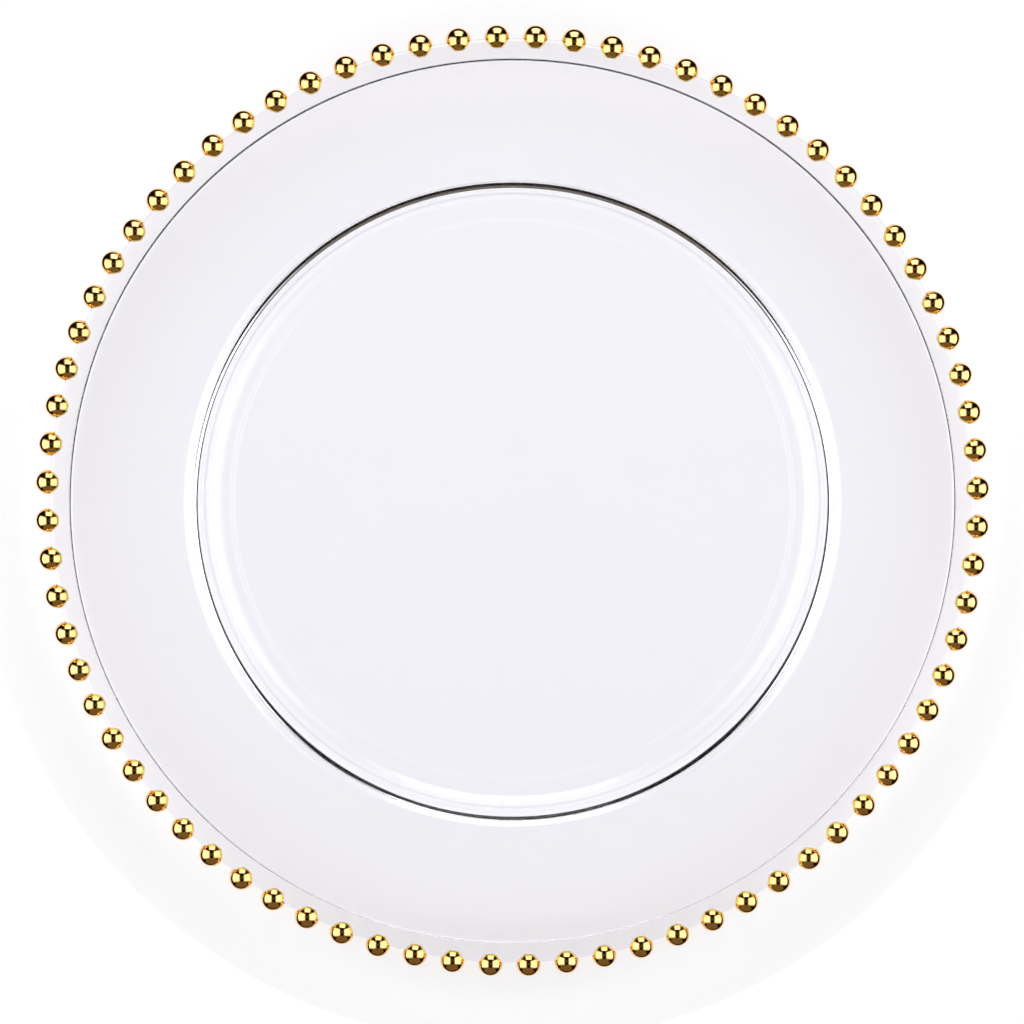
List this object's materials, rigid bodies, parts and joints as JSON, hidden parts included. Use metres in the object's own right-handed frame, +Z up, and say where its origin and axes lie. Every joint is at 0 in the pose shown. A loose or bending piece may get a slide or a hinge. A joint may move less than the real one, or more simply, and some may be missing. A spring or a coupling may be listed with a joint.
{
  "type": "charger plate",
  "caption": "Round clear glass charger plate with a wide flat rim, a sunken well, a foot ring and a ring of polished gold beads set in the rim's edge.",
  "frame": {"origin": "centre of the foot ring, on the surface that the plate stands on", "axes": "+Z up along the plate's own axis; +X through the first bead"},
  "size_m": [0.33, 0.33, 0.0237],
  "materials": {
    "clear_glass": "clear and polished, fire-smooth",
    "gold_plating": "mirror-polished gold plating"
  },
  "bodies": {
    "root": {"glass_plate": "clear_glass", "gold_beads_01": "gold_plating", "gold_beads_02": "gold_plating", "gold_beads_03": "gold_plating", "gold_beads_04": "gold_plating", "gold_beads_05": "gold_plating", "gold_beads_06": "gold_plating", "gold_beads_07": "gold_plating", "gold_beads_08": "gold_plating", "gold_beads_09": "gold_plating", "gold_beads_10": "gold_plating", "gold_beads_11": "gold_plating", "gold_beads_12": "gold_plating", "gold_beads_13": "gold_plating", "gold_beads_14": "gold_plating", "gold_beads_15": "gold_plating", "gold_beads_16": "gold_plating", "gold_beads_17": "gold_plating", "gold_beads_18": "gold_plating", "gold_beads_19": "gold_plating"}
  },
  "joints": []
}
